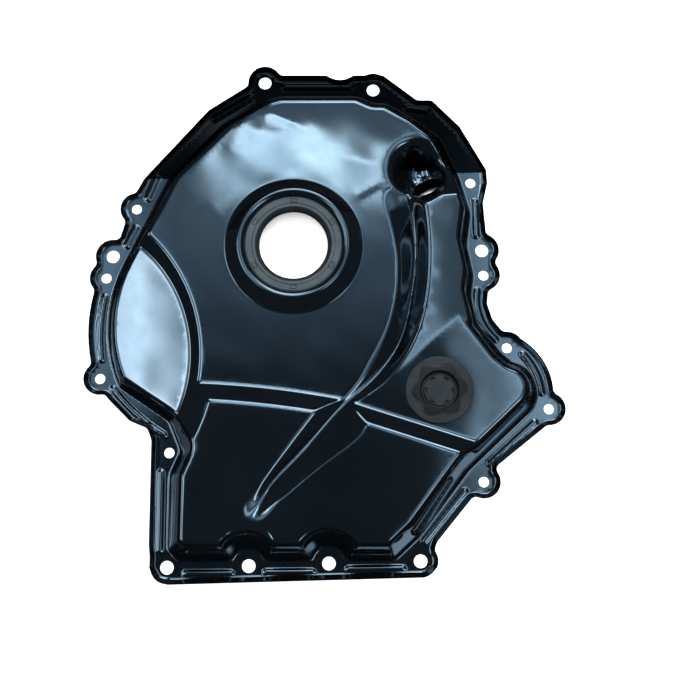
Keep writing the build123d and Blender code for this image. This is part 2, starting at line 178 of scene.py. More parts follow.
def newMaterial(name, metallic, roughness, specular, cloudScale, grainScale):
    material = bpy.data.materials.new(name)
    material.use_nodes = True
    tree = material.node_tree
    shader = tree.nodes["Principled BSDF"]
    shader.inputs["Metallic"].default_value = metallic
    shader.inputs["Roughness"].default_value = roughness
    shader.inputs["Specular IOR Level"].default_value = specular
    breakup = tree.nodes.new("ShaderNodeGroup")
    breakup.node_tree = surfaceBreakup
    breakup.inputs["Cloud Scale"].default_value = cloudScale
    breakup.inputs["Grain Scale"].default_value = grainScale
    return material, tree, shader.inputs, breakup.outputs["Cloud"], breakup.outputs["Grain"]


print("stage: materials")
paintFacts = {
    "coat": (0.070, 0.090, 0.104),
    "thinCoat": (0.052, 0.070, 0.084),
    "metallic": 0.97,
    "roughness": (0.045, 0.075),
    "specular": 0.5,
    "scales": (26.0, 1500.0),
    "grain": (0.03, 0.00002),
    # jet black of the painted dark reflection on the flange's top
    "paintedDarkReflection": (0.0018, 0.0024, 0.003),
    # the top of the flange is painted black as a painted dark reflection, above a line through these two
    # places, up to a height in m
    "paintedReflectionLine": ((-110.0, 53.4), (125.0, 58.4)),
    "paintedReflectionHeights": (0.012, 0.017),
    # the line's ragged border: noise scale and detail, size and softness in m
    "paintedReflectionBorder": (150.0, 2.0, 0.0016, 0.0002),
}


def paintMaterial():
    # glossy blue-black coating, with a painted dark reflection in jet black on the top of the flange
    facts = paintFacts
    material, tree, inputs, cloud, grain = newMaterial(
        "glossyCoating", facts["metallic"], facts["roughness"][0], facts["specular"], *facts["scales"])
    place = placeOf(tree)
    x, y, z = axesOf(tree, place)
    tone = mixColour(tree, rangeNode(tree, cloud, *noiseBand), facts["coat"], facts["thinCoat"])
    left, right = [rowPoint(*end) for end in facts["paintedReflectionLine"]]
    scale, detail, size, soft = facts["paintedReflectionBorder"]
    ragged = mathNode(tree, "MULTIPLY_ADD", noiseNode(tree, place, scale, detail), size, -size / 2)
    line = rangeNode(tree, x, left.x, right.x, left.y, right.y, smooth=False)
    above = mathNode(tree, "ADD", mathNode(tree, "SUBTRACT", y, line), ragged)
    low = rangeNode(tree, z, *facts["paintedReflectionHeights"], 1.0, 0.0)
    # painted dark reflection: the flange's top turns jet black above the line and below the height
    paintedDarkReflection = mathNode(tree, "MULTIPLY", rangeNode(tree, above, -soft, soft), low)
    feed(tree, inputs["Base Color"], mixColour(tree, paintedDarkReflection, tone, facts["paintedDarkReflection"]))
    feed(tree, inputs["Roughness"], rangeNode(tree, cloud, *noiseBand, *facts["roughness"]))
    feed(tree, inputs["Normal"], bumpNode(tree, grain, *facts["grain"]))
    return material


plainFacts = {
    # dark and light tone, metallic, roughness, specular level, cloud and grain scale, bump strength
    "sealRubber": ((0.78, 0.78, 0.78), (1.0, 1.0, 1.0), 0.0, 0.50, 0.12, 60.0, 1800.0, 0.3),
    "plugPlastic": ((0.0145, 0.0180, 0.0205), (0.0215, 0.0260, 0.0290), 0.0, 0.42, 0.15, 90.0, 2600.0, 0.3),
    "ringRubber": ((0.014, 0.014, 0.014), (0.024, 0.024, 0.024), 0.0, 0.60, 0.5, 80.0, 2000.0, 0.3),
    "caseSteel": ((0.42, 0.43, 0.44), (0.60, 0.61, 0.62), 1.0, 0.34, 0.5, 120.0, 1600.0, 0.2),
    "springSteel": ((0.55, 0.55, 0.54), (0.70, 0.70, 0.69), 1.0, 0.26, 0.5, 150.0, 2500.0, 0.1),
}
plainSpread = 0.06          # roughness either side of the middle
plainGrain = 0.0001         # bump depth in m


def plainMaterial(name):
    dark, light, metallic, roughness, specular, cloudScale, grainScale, bump = plainFacts[name]
    material, tree, inputs, cloud, grain = newMaterial(
        name, metallic, roughness, specular, cloudScale, grainScale)
    feed(tree, inputs["Base Color"], mixColour(tree, rangeNode(tree, cloud, *noiseBand), dark, light))
    rough = rangeNode(tree, grain, *noiseBand, roughness - plainSpread, roughness + plainSpread)
    feed(tree, inputs["Roughness"], rough)
    feed(tree, inputs["Normal"], bumpNode(tree, grain, bump, plainGrain))
    return material, tree, inputs["Base Color"]


def multiplyColour(tree, socket, tone):
    tree.links.new(mixColour(tree, 1.0, tone, socket.links[0].from_socket, "MULTIPLY"), socket)


rubberFacts = {
    # the face's tone, then the painted shade of everything lower than the face
    "face": (0.070, 0.091, 0.106),
    "lipShade": (0.017, 0.023, 0.028),
    "heights": (0.0284, 0.0292),     # from the lip's tone to the face's, in m
}


def rubberMaterial():
    # paler face, with painted shade darkening everything lower: the lip, the groove and the pits round the
    # marks
    material, tree, colour = plainMaterial("sealRubber")
    raised = rangeNode(tree, axesOf(tree, placeOf(tree))[2], *rubberFacts["heights"])
    # painted shade: darker wherever the rubber lies lower than the face
    multiplyColour(tree, colour, mixColour(tree, raised, rubberFacts["lipShade"], rubberFacts["face"]))
    return material


plasticFacts = {
    "lobes": (0.0172, 0.0019, 6, 97.0),     # radius and reach in m, number, turn in degrees
    "disc": (0.0118, 0.0, 1, 0.0),
    "border": 0.0004,
    "dark": (0.30, 0.33, 0.36),
}


def lobedTone(tree, place, radius, reach, lobes, turn):
    # 1 inside a lobed ring round the middle of the plug, 0 outside
    x, y = axesOf(tree, vectorNode(tree, "SUBTRACT", place, rowPoint(*plugPlace)))[:2]
    square = mathNode(tree, "MULTIPLY_ADD", x, x, mathNode(tree, "MULTIPLY", y, y))
    angle = mathNode(tree, "ARCTAN2", y, x)
    phase = mathNode(tree, "MULTIPLY_ADD", angle, float(lobes), -lobes * radians(turn))
    edge = mathNode(tree, "MULTIPLY_ADD", mathNode(tree, "COSINE", phase), -reach, radius)
    past = mathNode(tree, "SUBTRACT", mathNode(tree, "SQRT", square), edge)
    return rangeNode(tree, past, -plasticFacts["border"], plasticFacts["border"], 1.0, 0.0)


def plasticMaterial():
    # moulded black plastic, darker between its middle disc and the lobes of its flange
    material, tree, colour = plainMaterial("plugPlastic")
    place = placeOf(tree)
    lobes, disc = [lobedTone(tree, place, *plasticFacts[name]) for name in ("lobes", "disc")]
    inside = mathNode(tree, "SUBTRACT", lobes, disc, clamp=True)
    multiplyColour(tree, colour, mixColour(tree, inside, (1.0, 1.0, 1.0), plasticFacts["dark"]))
    return material


coating = paintMaterial()
sealRubber = rubberMaterial()
plugPlastic = plasticMaterial()
ringRubber = plainMaterial("ringRubber")[0]
caseSteel = plainMaterial("caseSteel")[0]
springSteel = plainMaterial("springSteel")[0]


def newPiece(name, points, faces, material, smooth=True):
    mesh = bpy.data.meshes.new(name)
    mesh.from_pydata([tuple(p) for p in points], [], faces)
    mesh.polygons.foreach_set("use_smooth", [smooth] * len(mesh.polygons))
    mesh.materials.append(material)
    piece = bpy.data.objects.new(name, mesh)
    bpy.context.scene.collection.objects.link(piece)
    return piece


def applyModifiers(piece):
    bpy.context.view_layer.update()
    shaped = bpy.data.meshes.new_from_object(piece.evaluated_get(bpy.context.evaluated_depsgraph_get()))
    piece.modifiers.clear()
    piece.data = shaped
    return piece


def band(first, second, count):
    # quads between two closed rings of points
    steps = [(k, (k + 1) % count) for k in range(count)]
    return [(first + k, first + after, second + after, second + k) for k, after in steps]


print("stage: cover")
coverFacts = {
    "cell": 0.6,                 # between heights read from the solid
    "gridMargin": 3.0,
    "rayTop": 100.0,
    "outlineStep": 1.6,
    "sheet": 1.5,
    "sharp": 38.0,
    # digits to which the solid's points are welded, and their reach in m from the sealing face
    "weld": (6, 2e-6),
    # an outline that is round within the first value, and smaller than the second, is a bolt hole
    "boltShape": (0.05, 6.0),
    "boltMargin": 0.8,           # flat band round a bolt hole
    "flangeTop": 1.5,
    "edgeReach": 2.1,            # width of the solid's own turned-up edge
    # blur of the flange, of what lies over it, and of steep walls
    "blurs": (0.4, 1.0, 1.25),
    "flangeBelow": 3.2,
    "panelReach": (1.6, 3.0),    # blur and gain of the panels' mask, so that it takes in the walls' feet
    "wallReach": 2.0,
    "wallSlopes": (0.81, 1.71),
    "sealPanel": 24.0,
    # radius, height and bend of the boss from the panel up to its rim
    "boss": [(48.2, 24.0, 0), (47.0, 24.0, 0.9), (38.0, 32.3, 0.75), (36.5, 32.3, 0)],
    "collarRadius": 33.5,
    "collarBend": 3.0,
    "collarFoot": 20.8,
    "collarRings": (6, 8, 4),    # in each bend of the boss, in the collar's bend and in its wall
    "plugHole": 19.0,
    "plugTop": 24.65,
    "cutMargin": 1.0,            # flat band round the boss and the plug's hole
    "tubePlace": (91.6, 44.2, 15.4),
    "tubeDirection": (-0.385, 0.652, 0.653),
    "tubeMargin": 0.9,           # flat band round the tube hole
    # radius and depth of the neck drawn inwards from the tube hole
    "tubeNeck": [(10.9, 0.0), (10.45, 0.08), (10.12, 0.4), (10.0, 0.9), (10.0, 3.0), (10.0, 5.5),
                 (10.0, 8.0)],
    # places and reach of the parts of the sheet that are drawn more softly, and how far they fade
    "softPlaces": [((86.0, 56.5), 15.0), ((-26.0, -184.0), 13.0)],
    "softFade": 1.6,
    "softBlur": 3.0,
    # inset from the outer edge and rise over the flange, from the flat to the edge's rim
    "edge": [(4.3, 0.0), (3.7, 0.05), (3.25, 0.25), (2.85, 0.6), (1.5, 2.1), (1.25, 2.35)],
    # reach across and up the plan, and width of the turned-up edge there: sump edge and lower left side
    "edgeWidths": [((-300.0, 300.0), (-300.0, -218.0), 1.45), ((-300.0, -90.0), (-205.0, -130.0), 0.6)],
    "edgeRounds": 3,
    "ringPoints": {"bolt": 40, "seal": 200, "plug": 120, "tube": 72, "tubeWall": 90},
    "pointStep": 3.0,
    "pointReach": 1e-4,          # points closer than this are one
    # bend over which points lie 1.5, 0.75 and 0.375 mm apart
    "bends": (0.026, 0.09, 1.5),
    # blur and level of the mask that keeps points off the borders
    "borderMask": (0.6, 0.86),
    "undersideShare": 0.22,
}


def flatOutlines(mesh):
    # closed outlines of the solid's sealing face, in mm from the crankshaft axis
    digits, level = coverFacts["weld"]
    weld, places = {}, []
    index = np.empty(len(mesh.vertices), int)
    for vertex in mesh.vertices:
        key = tuple(round(c, digits) for c in vertex.co)
        if key not in weld:
            weld[key] = len(places)
            places.append(key)
        index[vertex.index] = weld[key]
    onward = {}
    for face in mesh.polygons:
        corners = [int(index[v]) for v in face.vertices]
        if all(abs(places[c][2]) < level for c in corners):
            for a, b in zip(corners, corners[1:] + corners[:1]):
                onward[(a, b)] = True
    edges = {a: b for a, b in onward if (b, a) not in onward}
    loops = []
    while edges:
        start, here = edges.popitem()
        loop = [start]
        while here != start:
            loop.append(here)
            here = edges.pop(here)
        corners = [places[v] for v in loop]
        loops.append(np.array([((x - crank.x) / mm, (y - crank.y) / mm) for x, y, z in corners]))
    return loops


def turnedArea(loop):
    x, y = loop[:, 0], loop[:, 1]
    return 0.5 * float(np.sum(x * np.roll(y, -1) - np.roll(x, -1) * y))


def anticlockwise(loop):
    return loop if turnedArea(loop) > 0 else loop[::-1]


def resampled(loop, spacing):
    # the outline again, with no step longer than the spacing or shorter than a fifth of it
    points = []
    for a, b in zip(loop, np.roll(loop, -1, axis=0)):
        steps = max(1, int(np.ceil(np.linalg.norm(b - a) / spacing)))
        for k in range(steps):
            point = a + (b - a) * k / steps
            if not points or np.linalg.norm(point - points[-1]) > spacing / 5:
                points.append(point)
    return np.array(points)


def insideMask(loop, xs, ys):
    # grid cells inside a closed outline, one row at a time
    mask = np.zeros((len(xs), len(ys)), bool)
    ax, ay = loop[:, 0], loop[:, 1]
    bx, by = np.roll(ax, -1), np.roll(ay, -1)
    for j, y in enumerate(ys):
        crossing = (ay <= y) != (by <= y)
        if not crossing.any():
            continue
        left, low = ax[crossing], ay[crossing]
        at = left + (y - low) / (by[crossing] - low) * (bx[crossing] - left)
        mask[:, j] = (np.searchsorted(np.sort(at), xs) % 2) == 1
    return mask


def inPolygon(loop, points):
    # points inside a closed outline, one edge at a time
    inside = np.zeros(len(points), bool)
    ax, ay = loop[:, 0], loop[:, 1]
    bx, by = np.roll(ax, -1), np.roll(ay, -1)
    near = ((points[:, 0] >= ax.min()) & (points[:, 0] <= ax.max())
            & (points[:, 1] >= ay.min()) & (points[:, 1] <= ay.max()))
    x, y = points[near, 0], points[near, 1]
    hits = np.zeros(len(x), int)
    for k in range(len(loop)):
        if ay[k] == by[k]:
            continue
        crossing = (ay[k] <= y) != (by[k] <= y)
        at = ax[k] + (y - ay[k]) / (by[k] - ay[k]) * (bx[k] - ax[k])
        hits += crossing & (at > x)
    inside[near] = hits % 2 == 1
    return inside


def insetLoop(loop, distances):
    # an anticlockwise outline moved inwards by a distance at each point
    before, after = np.roll(loop, 1, axis=0), np.roll(loop, -1, axis=0)
    tangent = after - before
    tangent /= np.linalg.norm(tangent, axis=1)[:, None]
    inward = np.stack([-tangent[:, 1], tangent[:, 0]], axis=1)
    return loop + inward * np.asarray(distances)[:, None]


def circleLoop(centre, radius, count):
    turns = np.arange(count) * 2 * pi / count
    return np.stack([centre[0] + radius * np.cos(turns), centre[1] + radius * np.sin(turns)], axis=1)


def tubeLoop(radius, depth, count):
    # a ring of the tube hole in its leaning wall, moved inwards by a depth
    d = Vector(coverFacts["tubeDirection"]).normalized()
    along = Vector((-d.y, d.x, 0)).normalized()
    steep = along.cross(d)
    middle = Vector(coverFacts["tubePlace"]) - d * depth
    turns = np.arange(count) * 2 * pi / count
    return anticlockwise(np.array([middle + (along * cos(t) + steep * sin(t)) * radius for t in turns]))


def roundedProfile(corners, steps=4, share=0.45):
    # a closed outline of radius and height: each corner (r, z, bend) becomes an arc, which takes up no
    # more than a share of either side
    outline = []
    count = len(corners)
    for k, (r, z, bend) in enumerate(corners):
        here = np.array((r, z), float)
        if bend <= 0:
            outline.append(here)
            continue
        before = np.array(corners[k - 1][:2], float) - here
        after = np.array(corners[(k + 1) % count][:2], float) - here
        reach = min(bend, share * np.linalg.norm(before), share * np.linalg.norm(after))
        start = here + before / np.linalg.norm(before) * reach
        end = here + after / np.linalg.norm(after) * reach
        for t in np.linspace(0, 1, steps + 1):
            outline.append((1 - t) ** 2 * start + 2 * t * (1 - t) * here + t ** 2 * end)
    return outline


def blurred(values, sigma):
    # sigma in cells
    reach = max(1, int(3 * sigma + 0.5))
    kernel = np.exp(-0.5 * (np.arange(-reach, reach + 1) / sigma) ** 2)
    kernel /= kernel.sum()
    for axis in (0, 1):
        padded = np.pad(values, [(reach, reach) if k == axis else (0, 0) for k in (0, 1)], mode="edge")
        total = np.zeros_like(values)
        for k, weight in enumerate(kernel):
            window = padded[k:k + values.shape[0], :] if axis == 0 else padded[:, k:k + values.shape[1]]
            total += weight * window
        values = total
    return values


def fading(values, start, finish):
    # 0 up to the start, 1 from the finish on
    return np.clip((values - start) / (finish - start), 0, 1)


def readHeights(node, xs, ys):
    # height of the solid over each cell of the plan, from rays straight down
    mesh = node.data
    tree = BVHTree.FromPolygons([v.co for v in mesh.vertices], [tuple(p.vertices) for p in mesh.polygons])
    heights = np.full((len(xs), len(ys)), np.nan)
    down = Vector((0, 0, -1))
    for i, x in enumerate(xs):
        for j, y in enumerate(ys):
            hit = tree.ray_cast(rowPoint(x, y, coverFacts["rayTop"]), down)[0]
            if hit is not None:
                heights[i, j] = hit.z / mm
    return heights


def fillGaps(heights):
    # cells with no height take the mean of their neighbours, working inwards
    while np.isnan(heights).any():
        padded = np.pad(heights, 1, mode="edge")
        around = np.stack([padded[:-2, 1:-1], padded[2:, 1:-1], padded[1:-1, :-2], padded[1:-1, 2:]])
        known = ~np.isnan(around)
        total = np.where(known, around, 0).sum(0)
        count = known.sum(0)
        ready = np.isnan(heights) & (count > 0)
        heights[ready] = total[ready] / count[ready]
    return heights


class HeightField:
    # a value over every point of the plan, from a grid of them
    def __init__(self, xs, ys, values):
        self.xs, self.ys, self.values = xs, ys, values
        self.cell = xs[1] - xs[0]

    def at(self, points):
        last = 1.001        # keeps points on the far border inside the last cell
        u = np.clip((points[:, 0] - self.xs[0]) / self.cell, 0, len(self.xs) - last)
        v = np.clip((points[:, 1] - self.ys[0]) / self.cell, 0, len(self.ys) - last)
        i, j = u.astype(int), v.astype(int)
        s, t = u - i, v - j
        h = self.values
        return (h[i, j] * (1 - s) * (1 - t) + h[i + 1, j] * s * (1 - t)
                + h[i, j + 1] * (1 - s) * t + h[i + 1, j + 1] * s * t)


wrinkleFacts = {
    # slow unevenness of the drawn sheet: height, shortest and longest wave, number of waves
    "waves": (0.022, 20.0, 48.0, 14),
    "seed": 7,
    # each fold: its two ends, height of its crest, reach on its left side and on its right side
    "folds": [
        ((-21.0, 97.2), (10.5, 81.8), 0.15, 5.0, 11.0),
        ((-33.0, 83.0), (9.0, 78.0), 0.050, 3.6, 9.0),
        ((-48.5, 70.4), (-31.0, 60.4), 0.060, 30.0, 6.0),
        ((-13.0, 100.0), (3.0, 87.5), 0.045, 4.0, 3.0),
        ((40.0, 33.6), (68.0, 50.0), 0.080, 3.0, 4.0),
        ((44.0, 30.5), (69.0, 45.5), -0.060, 3.0, 4.0),
        ((33.0, 62.0), (60.0, 57.0), 0.050, 9.0, 4.0),
        ((-57.0, 31.0), (-45.0, 12.0), 0.040, 7.0, 7.0),
    ],
    "foldFade": (0.12, 0.45),    # shares of a fold's length over which it grows and dies away
    # small dents in the crest over the groove: place, depth and size
    "dents": [((93.5, -20.0), 0.10, 2.2), ((90.0, -44.0), 0.14, 2.0), ((84.5, -57.0), 0.14, 2.0)],
    "heights": (8.0, 14.0),      # nothing below the first, all above the second
    # places with none of it: radii of the boss, the plug and the tube hole, and the fade past them
    "calm": [((0.0, 0.0), 48.5), (plugPlace, 20.0), (coverFacts["tubePlace"][:2], 11.5)],
    "calmFade": 4.0,
}


def wrinkles(gridX, gridY, heights):
    # height added to the raised panels by unevenness, folds and dents
    facts = wrinkleFacts
    size, shortest, longest, count = facts["waves"]
    draw = np.random.default_rng(facts["seed"])
    total = np.zeros_like(gridX)
    for k in range(count):
        turn, phase = draw.uniform(0, 2 * pi, 2)
        wave = draw.uniform(shortest, longest)
        run = (gridX * cos(turn) + gridY * sin(turn)) * 2 * pi / wave
        total += size * (wave / longest) * np.sin(run + phase) / 2
    grow, die = facts["foldFade"]
    for (ax, ay), (bx, by), crest, left, right in facts["folds"]:
        length = np.hypot(bx - ax, by - ay)
        ux, uy = (bx - ax) / length, (by - ay) / length
        along = ((gridX - ax) * ux + (gridY - ay) * uy) / length
        aside = (gridY - ay) * ux - (gridX - ax) * uy
        fade = fading(along, 0, grow) * fading(1 - along, 0, die)
        total += crest * fade * np.exp(-np.abs(aside) / np.where(aside > 0, left, right))
    for (x, y), depth, reach in facts["dents"]:
        total -= depth * np.exp(-((gridX - x) ** 2 + (gridY - y) ** 2) / (2 * reach ** 2))
    total *= fading(heights, *facts["heights"])
    for (x, y), reach in facts["calm"]:
        total *= fading(np.hypot(gridX - x, gridY - y), reach, reach + facts["calmFade"])
    return total


def coverHeights(outer, xs, ys, boltHoles):
    # the solid's outer surface with its holes filled, its bends softened and its wrinkles added
    facts = coverFacts
    cell = facts["cell"]
    heights = readHeights(nodes["cover"], xs, ys)
    gridX, gridY = np.meshgrid(xs, ys, indexing="ij")
    heights[~insideMask(insetLoop(outer, [facts["edgeReach"]] * len(outer)), xs, ys)] = facts["flangeTop"]
    levels = [((x, y), radius + facts["boltMargin"], facts["flangeTop"]) for x, y, radius in boltHoles]
    levels += [((0.0, 0.0), facts["boss"][0][0] + facts["cutMargin"], facts["sealPanel"]),
               (plugPlace, facts["plugHole"] + facts["cutMargin"], facts["plugTop"])]
    for (x, y), radius, level in levels:
        heights[np.hypot(gridX - x, gridY - y) < radius] = level
    heights = fillGaps(heights)
    for (x, y), reach in facts["softPlaces"]:
        soft = np.clip(facts["softFade"] - np.hypot(gridX - x, gridY - y) / reach, 0, 1)
        heights = heights * (1 - soft) + blurred(heights, facts["softBlur"] / cell) * soft
    reach = facts["tubeNeck"][0][0] + facts["tubeMargin"]
    hole = insideMask(tubeLoop(reach, 0, facts["ringPoints"]["tubeWall"]), xs, ys)
    x, y, z = facts["tubePlace"]
    d = facts["tubeDirection"]
    heights[hole] = (z - (d[0] * (gridX - x) + d[1] * (gridY - y)) / d[2])[hole]
    flange, panel, wall = [blurred(heights, blur / cell) for blur in facts["blurs"]]
    reach, gain = facts["panelReach"]
    mask = np.clip(gain * blurred((heights > facts["flangeBelow"]).astype(float), reach / cell), 0, 1)
    smooth = flange * (1 - mask) + panel * mask
    slope = np.hypot(np.gradient(smooth, cell, axis=0), np.gradient(smooth, cell, axis=1))
    steep = fading(blurred(slope, facts["wallReach"] / cell), *facts["wallSlopes"])
    return smooth * (1 - steep) + wall * steep + wrinkles(gridX, gridY, heights)


def widened(values):
    # each cell takes the largest of its neighbours
    for axis in (0, 1):
        values = np.maximum(values, np.maximum(np.roll(values, 1, axis), np.roll(values, -1, axis)))
    return values


def scatterPoints(field, outline, holes):
    # closer points where the surface bends more
    facts = coverFacts
    xs, ys, cell = field.xs, field.ys, field.cell
    slopeX, slopeY = [np.gradient(field.values, cell, axis=axis) for axis in (0, 1)]
    bendX, twist = [np.gradient(slopeX, cell, axis=axis) for axis in (0, 1)]
    bendY = np.gradient(slopeY, cell, axis=1)
    bend = HeightField(xs, ys, widened(np.sqrt(bendX ** 2 + 2 * twist ** 2 + bendY ** 2)))
    inside = insideMask(outline, xs, ys)
    for hole in holes:
        inside &= ~insideMask(hole, xs, ys)
    blur, level = facts["borderMask"]
    margin = HeightField(xs, ys, blurred(inside.astype(float), blur / cell))
    chosen = []
    for k, limit in enumerate((0.0, *facts["bends"])):
        step = facts["pointStep"] / 2 ** k
        rowX, rowY = np.arange(xs[0], xs[-1], step), np.arange(ys[0], ys[-1], step)
        points = np.stack([grid.ravel() for grid in np.meshgrid(rowX, rowY, indexing="ij")], axis=1)
        if k > 0:
            fresh = (np.arange(len(rowX)) % 2)[:, None] | (np.arange(len(rowY)) % 2)[None, :]
            points = points[(fresh.ravel() == 1) & (bend.at(points) > limit)]
        chosen.append(points[margin.at(points) > level])
        print("   points", step, "mm apart", len(chosen[-1]))
    return np.concatenate(chosen)


def findBoltHoles(loops):
    # centre and radius of each small round outline
    uneven, largest = coverFacts["boltShape"]
    found = []
    for loop in loops:
        centre = loop.mean(0)
        reach = np.linalg.norm(loop - centre, axis=1)
        if reach.max() - reach.min() < uneven and reach.mean() < largest:
            found.append((float(centre[0]), float(centre[1]), float(reach.mean())))
    return found


def edgeRings(outer):
    # insets of the outer edge, from the flat of the flange to the rim of the turned-up edge
    width = np.ones(len(outer))
    x, y = outer[:, 0], outer[:, 1]
    for (left, right), (low, high), share in coverFacts["edgeWidths"]:
        width[(x > left) & (x < right) & (y > low) & (y < high)] = share
    for turn in range(coverFacts["edgeRounds"]):
        width = (np.roll(width, 1) + width + np.roll(width, -1)) / 3
    return [insetLoop(outer, width * inset) for inset, rise in coverFacts["edge"]]


def collarProfile():
    # radius and height, over the boss and down into the seal's collar
    facts = coverFacts
    bend, radius, top = facts["collarBend"], facts["collarRadius"], facts["boss"][-1][1]
    inBoss, inBend, inWall = facts["collarRings"]
    profile = [tuple(p) for p in roundedProfile(facts["boss"], inBoss)[1:]]
    arc = np.linspace(0, pi / 2, inBend + 1)[1:]
    profile += [(radius + bend - bend * sin(t), top - bend + bend * cos(t)) for t in arc]
    return profile + [(radius, z) for z in np.linspace(top - bend, facts["collarFoot"], inWall + 1)[1:]]


def addRing(vertices, faces, last, ring, outside=False):
    # one more ring of quads on from the last one
    here = list(range(len(vertices), len(vertices) + len(ring)))
    vertices += [tuple(rowPoint(*p)) for p in ring]
    for k in range(len(ring)):
        after = (k + 1) % len(ring)
        quad = (last[k], here[k], here[after], last[after])
        faces.append(quad if outside else quad[::-1])
    return here


def coverPiece():
    facts = coverFacts
    loops = flatOutlines(nodes["cover"].data)
    loops.sort(key=lambda loop: -abs(turnedArea(loop)))
    outer = resampled(anticlockwise(loops[0]), facts["outlineStep"])
    boltHoles = findBoltHoles(loops[1:])
    print("   bolt holes", len(boltHoles))
    low, high = outer.min(0) - facts["gridMargin"], outer.max(0) + facts["gridMargin"]
    xs, ys = [np.arange(low[axis], high[axis], facts["cell"]) for axis in (0, 1)]
    field = HeightField(xs, ys, coverHeights(outer, xs, ys, boltHoles))
    print("   heights read", field.values.shape)

    # outlines: the flange, the bolt holes, the boss, the plug's hole and the tube hole
    counts = facts["ringPoints"]
    edge = edgeRings(outer)
    tube = [tubeLoop(radius, depth, counts["tube"]) for radius, depth in facts["tubeNeck"]]
    holes = [circleLoop((x, y), radius, counts["bolt"]) for x, y, radius in boltHoles]
    holes += [circleLoop((0, 0), facts["boss"][0][0], counts["seal"]),
              circleLoop(plugPlace, facts["plugHole"], counts["plug"]), tube[0][:, :2]]
    inner = scatterPoints(field, edge[0], holes)
    print("   points inside", len(inner))
    borders, starts, edges = [edge[0]] + holes, [], []
    for loop in borders:
        start = len(edges)
        starts.append(start)
        edges += [(start + k, start + (k + 1) % len(loop)) for k in range(len(loop))]
    places = np.concatenate(borders + [inner])
    out = delaunay_2d_cdt([Vector(p) for p in places], edges, [], 0, facts["pointReach"])
    points, triangles = np.array([(p.x, p.y) for p in out[0]]), np.array(out[2])
    middle = points[triangles].mean(1)
    keep = inPolygon(edge[0], middle)
    for hole in holes:
        keep &= ~inPolygon(hole, middle)
    vertices = [tuple(rowPoint(*p)) for p in np.column_stack([points, field.at(points)])]
    faces = [tuple(int(v) for v in t) for t in triangles[keep]]
    back = {int(old[0]): new for new, old in enumerate(out[3]) if len(old)}

    # turned-up edge, then the collar round the seal and the neck of the tube hole
    last = [back[k] for k in range(len(edge[0]))]
    for loop, (inset, rise) in zip(edge[1:], facts["edge"][1:]):
        ring = [(x, y, facts["flangeTop"] + rise) for x, y in loop]
        last = addRing(vertices, faces, last, ring, outside=True)
    last = [back[starts[-3] + k] for k in range(counts["seal"])]
    for radius, z in collarProfile():
        ring = [(x, y, z) for x, y in circleLoop((0, 0), radius, counts["seal"])]
        last = addRing(vertices, faces, last, ring)
    last = [back[starts[-1] + k] for k in range(counts["tube"])]
    for ring in tube[1:]:
        last = addRing(vertices, faces, last, ring)
    print("   top faces", len(faces))

    # thickness of the sheet, with fewer faces on its underside
    piece = newPiece("pressedCover", vertices, faces, coating)
    under = piece.vertex_groups.new(name="underside")
    thick = piece.modifiers.new("sheet", "SOLIDIFY")
    thick.thickness = facts["sheet"] * mm
    thick.offset = -1.0
    thick.use_rim = True
    thick.shell_vertex_group = under.name
    fewer = piece.modifiers.new("underside", "DECIMATE")
    fewer.vertex_group = under.name
    fewer.ratio = (1 + facts["undersideShare"]) / 2
    applyModifiers(piece)
    print("   cover faces", len(piece.data.polygons))
    piece.data.set_sharp_from_angle(angle=radians(facts["sharp"]))
    return piece


cover = coverPiece()
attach(cover, "root")
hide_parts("cover")

print("stage: seal and spring")
sharpAngle = 40.0           # degrees, for the seal, the spring and the plug
pointWeld = 1e-6            # in m
springFacts = {
    "ring": 26.7, "level": 23.9,
    "coil": 0.73, "wire": 0.17,
    "coils": 210, "perCoil": 9, "sides": 5,
}
sealFacts = {
    # radius, height and bend of each corner, from the foot over the face and the lip to the spring's seat
    "face": [(31.5, 20.5, 0.2), (33.5, 20.5, 0.5), (33.5, 28.5, 0.3), (32.4, 29.5, 0.3),
             (28.6, 29.5, 0.12), (28.4, 29.0, 0), (28.2, 29.0, 0), (28.0, 29.45, 0.12),
             (26.3, 29.4, 0.25), (26.05, 28.7, 0.15), (24.6, 27.6, 0.6), (23.9, 26.3, 0.5),
             (23.25, 24.9, 0.3), (23.25, 23.9, 0.3), (24.85, 22.0, 0.5), (27.1, 22.0, 0.4)],
    # and from the seat round the steel case back to the foot
    "back": [(27.1, 25.6, 0.3), (27.4, 27.5, 0), (27.4, 28.5, 0), (32.5, 28.5, 0), (32.5, 21.0, 0),
             (31.5, 21.0, 0)],
    "seatSpread": 0.46,         # radians by which the seat reaches round the spring
    "seatPoints": 9,
    "steps": 168,
    "top": 29.5,
    # small rectangular marks, each on the floor of a pit in the face
    "marks": 6, "markTurn": 30.0, "markRadius": 30.1, "markSize": (3.4, 1.9),
    "markRise": 0.12, "markBevel": 0.12,
    "pitDepth": 0.55, "pitGap": 0.65, "pitOver": 0.5,
}
padRoot = 0.1               # a pad's straight foot in mm


def turnedPoint(centre, radius, turn, z):
    return rowPoint(centre[0] + radius * cos(turn), centre[1] + radius * sin(turn), z)


def turned(outline, steps, centre=(0.0, 0.0)):
    # the closed outline carried round an upright axis
    points, faces = [], []
    count = len(outline)
    for k in range(steps):
        points += [turnedPoint(centre, r, 2 * pi * k / steps, z) for r, z in outline]
        faces += band(k * count, (k + 1) % steps * count, count)
    return points, faces


